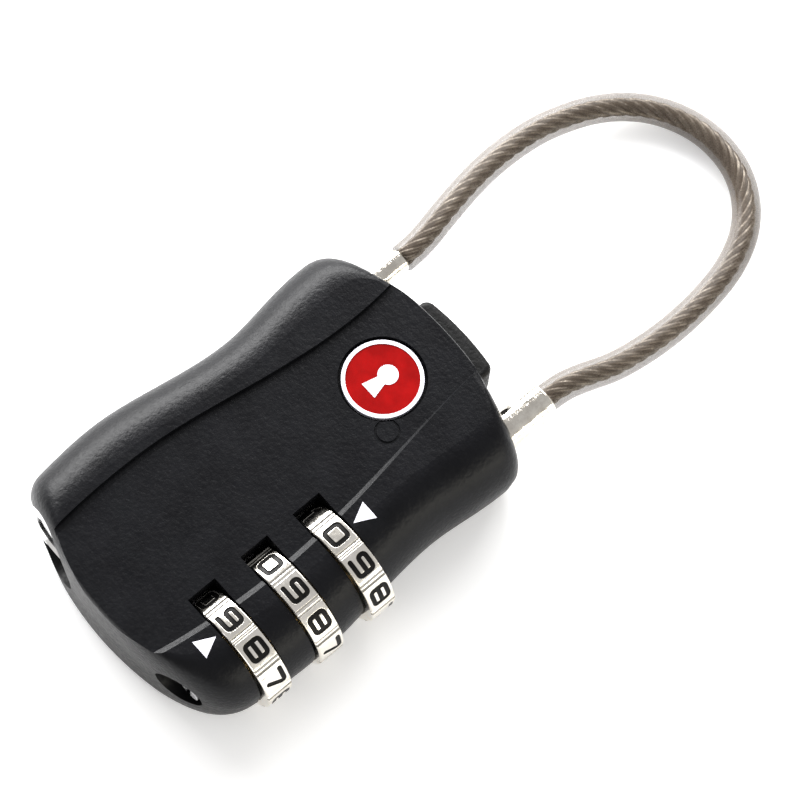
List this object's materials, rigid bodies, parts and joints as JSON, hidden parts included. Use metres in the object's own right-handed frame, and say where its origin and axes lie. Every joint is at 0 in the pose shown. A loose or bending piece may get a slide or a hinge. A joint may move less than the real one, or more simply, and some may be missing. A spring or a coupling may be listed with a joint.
{
  "type": "luggage combination padlock",
  "caption": "Flat waisted luggage padlock with number dials along one side, a push button, a service key cylinder and a flexible cable shackle.",
  "frame": {"origin": "middle of the flat back of the case, which the lock lies on", "axes": "+Z out of the front face, +Y along the case towards the cable shackle, +X towards the side with the dials"},
  "size_m": [0.0327, 0.0837, 0.0127],
  "materials": {
    "black_paint": "satin, fine grain",
    "nickel": "bright plated",
    "chrome": "bright plated",
    "steel": "turned",
    "spring_steel": "drawn wire",
    "steel_rope": "stranded",
    "brass": "machined",
    "vinyl": "clear smoky",
    "black_plastic": "matte, faintly pitted",
    "red_enamel": "glossy",
    "white_paint": "matte"
  },
  "bodies": {
    "case": {"front_shell": "black_paint", "back_shell": "black_paint", "shell_rivets": "steel", "reset_spring": "spring_steel", "spring_divider": "brass", "ejector_spring": "spring_steel", "detent_spring": "spring_steel", "fixed_ferrule": "nickel", "ferrule_clip": "steel", "cable_jacket": "vinyl", "cable_core": "steel_rope", "button_spring_left": "spring_steel", "button_spring_right": "spring_steel", "spring_seat": "steel", "latch_spring": "spring_steel", "cylinder_housing": "chrome", "badge_rim": "white_paint", "badge_enamel": "red_enamel", "badge_keyhole": "white_paint", "index_marks": "white_paint"},
    "dial_1": {"dial_1": "nickel", "clutch_sleeve_1": "brass"},
    "dial_2": {"dial_2": "nickel", "clutch_sleeve_2": "brass"},
    "dial_3": {"dial_3": "nickel", "clutch_sleeve_3": "brass"},
    "reset_spindle": {"spindle": "steel"},
    "shackle_end": {"stem_ferrule": "nickel"},
    "button": {"push_button": "black_plastic"},
    "latch": {"latch_plate": "steel"},
    "key_plug": {"key_plug": "chrome", "plug_cam": "steel", "plug_wafers": "brass"}
  },
  "joints": [
    {"name": "dial_1_turn", "type": "hinge", "parent": "case", "child": "dial_1", "pos_m": [0.0103, -0.0138, 0.00645], "axis": [0, 1, 0], "continuous": true},
    {"name": "dial_2_turn", "type": "hinge", "parent": "case", "child": "dial_2", "pos_m": [0.0103, -0.00715, 0.00645], "axis": [0, 1, 0], "continuous": true},
    {"name": "dial_3_turn", "type": "hinge", "parent": "case", "child": "dial_3", "pos_m": [0.0103, -0.0005, 0.00645], "axis": [0, 1, 0], "continuous": true},
    {"name": "button_press", "type": "slide", "parent": "case", "child": "button", "axis": [0, -1, 0], "range_m": [0, 0.0012], "stiffness_N_per_m": 1200, "springref_m": -0.001, "deforming": ["button_spring_left", "button_spring_right"]},
    {"name": "latch_slide", "type": "slide", "parent": "case", "child": "latch", "axis": [-1, 0, 0], "range_m": [0, 0.001], "deforming": ["latch_spring"]},
    {"name": "shackle_pull", "type": "slide", "parent": "case", "child": "shackle_end", "axis": [0, 1, 0], "range_m": [0, 0.012], "deforming": ["cable_jacket", "cable_core", "ejector_spring"]},
    {"name": "reset_push", "type": "slide", "parent": "case", "child": "reset_spindle", "axis": [0, 1, 0], "range_m": [0, 0.0012], "stiffness_N_per_m": 900, "springref_m": -0.001, "deforming": ["reset_spring"]},
    {"name": "key_turn", "type": "hinge", "parent": "case", "child": "key_plug", "pos_m": [-0.0093, -0.0137, 0.00645], "axis": [0, 1, 0], "range_deg": [0, 90]}
  ],
  "couplings": [
    {"joint": "latch_slide", "follows": "button_press", "ratio": 0.83333}
  ]
}
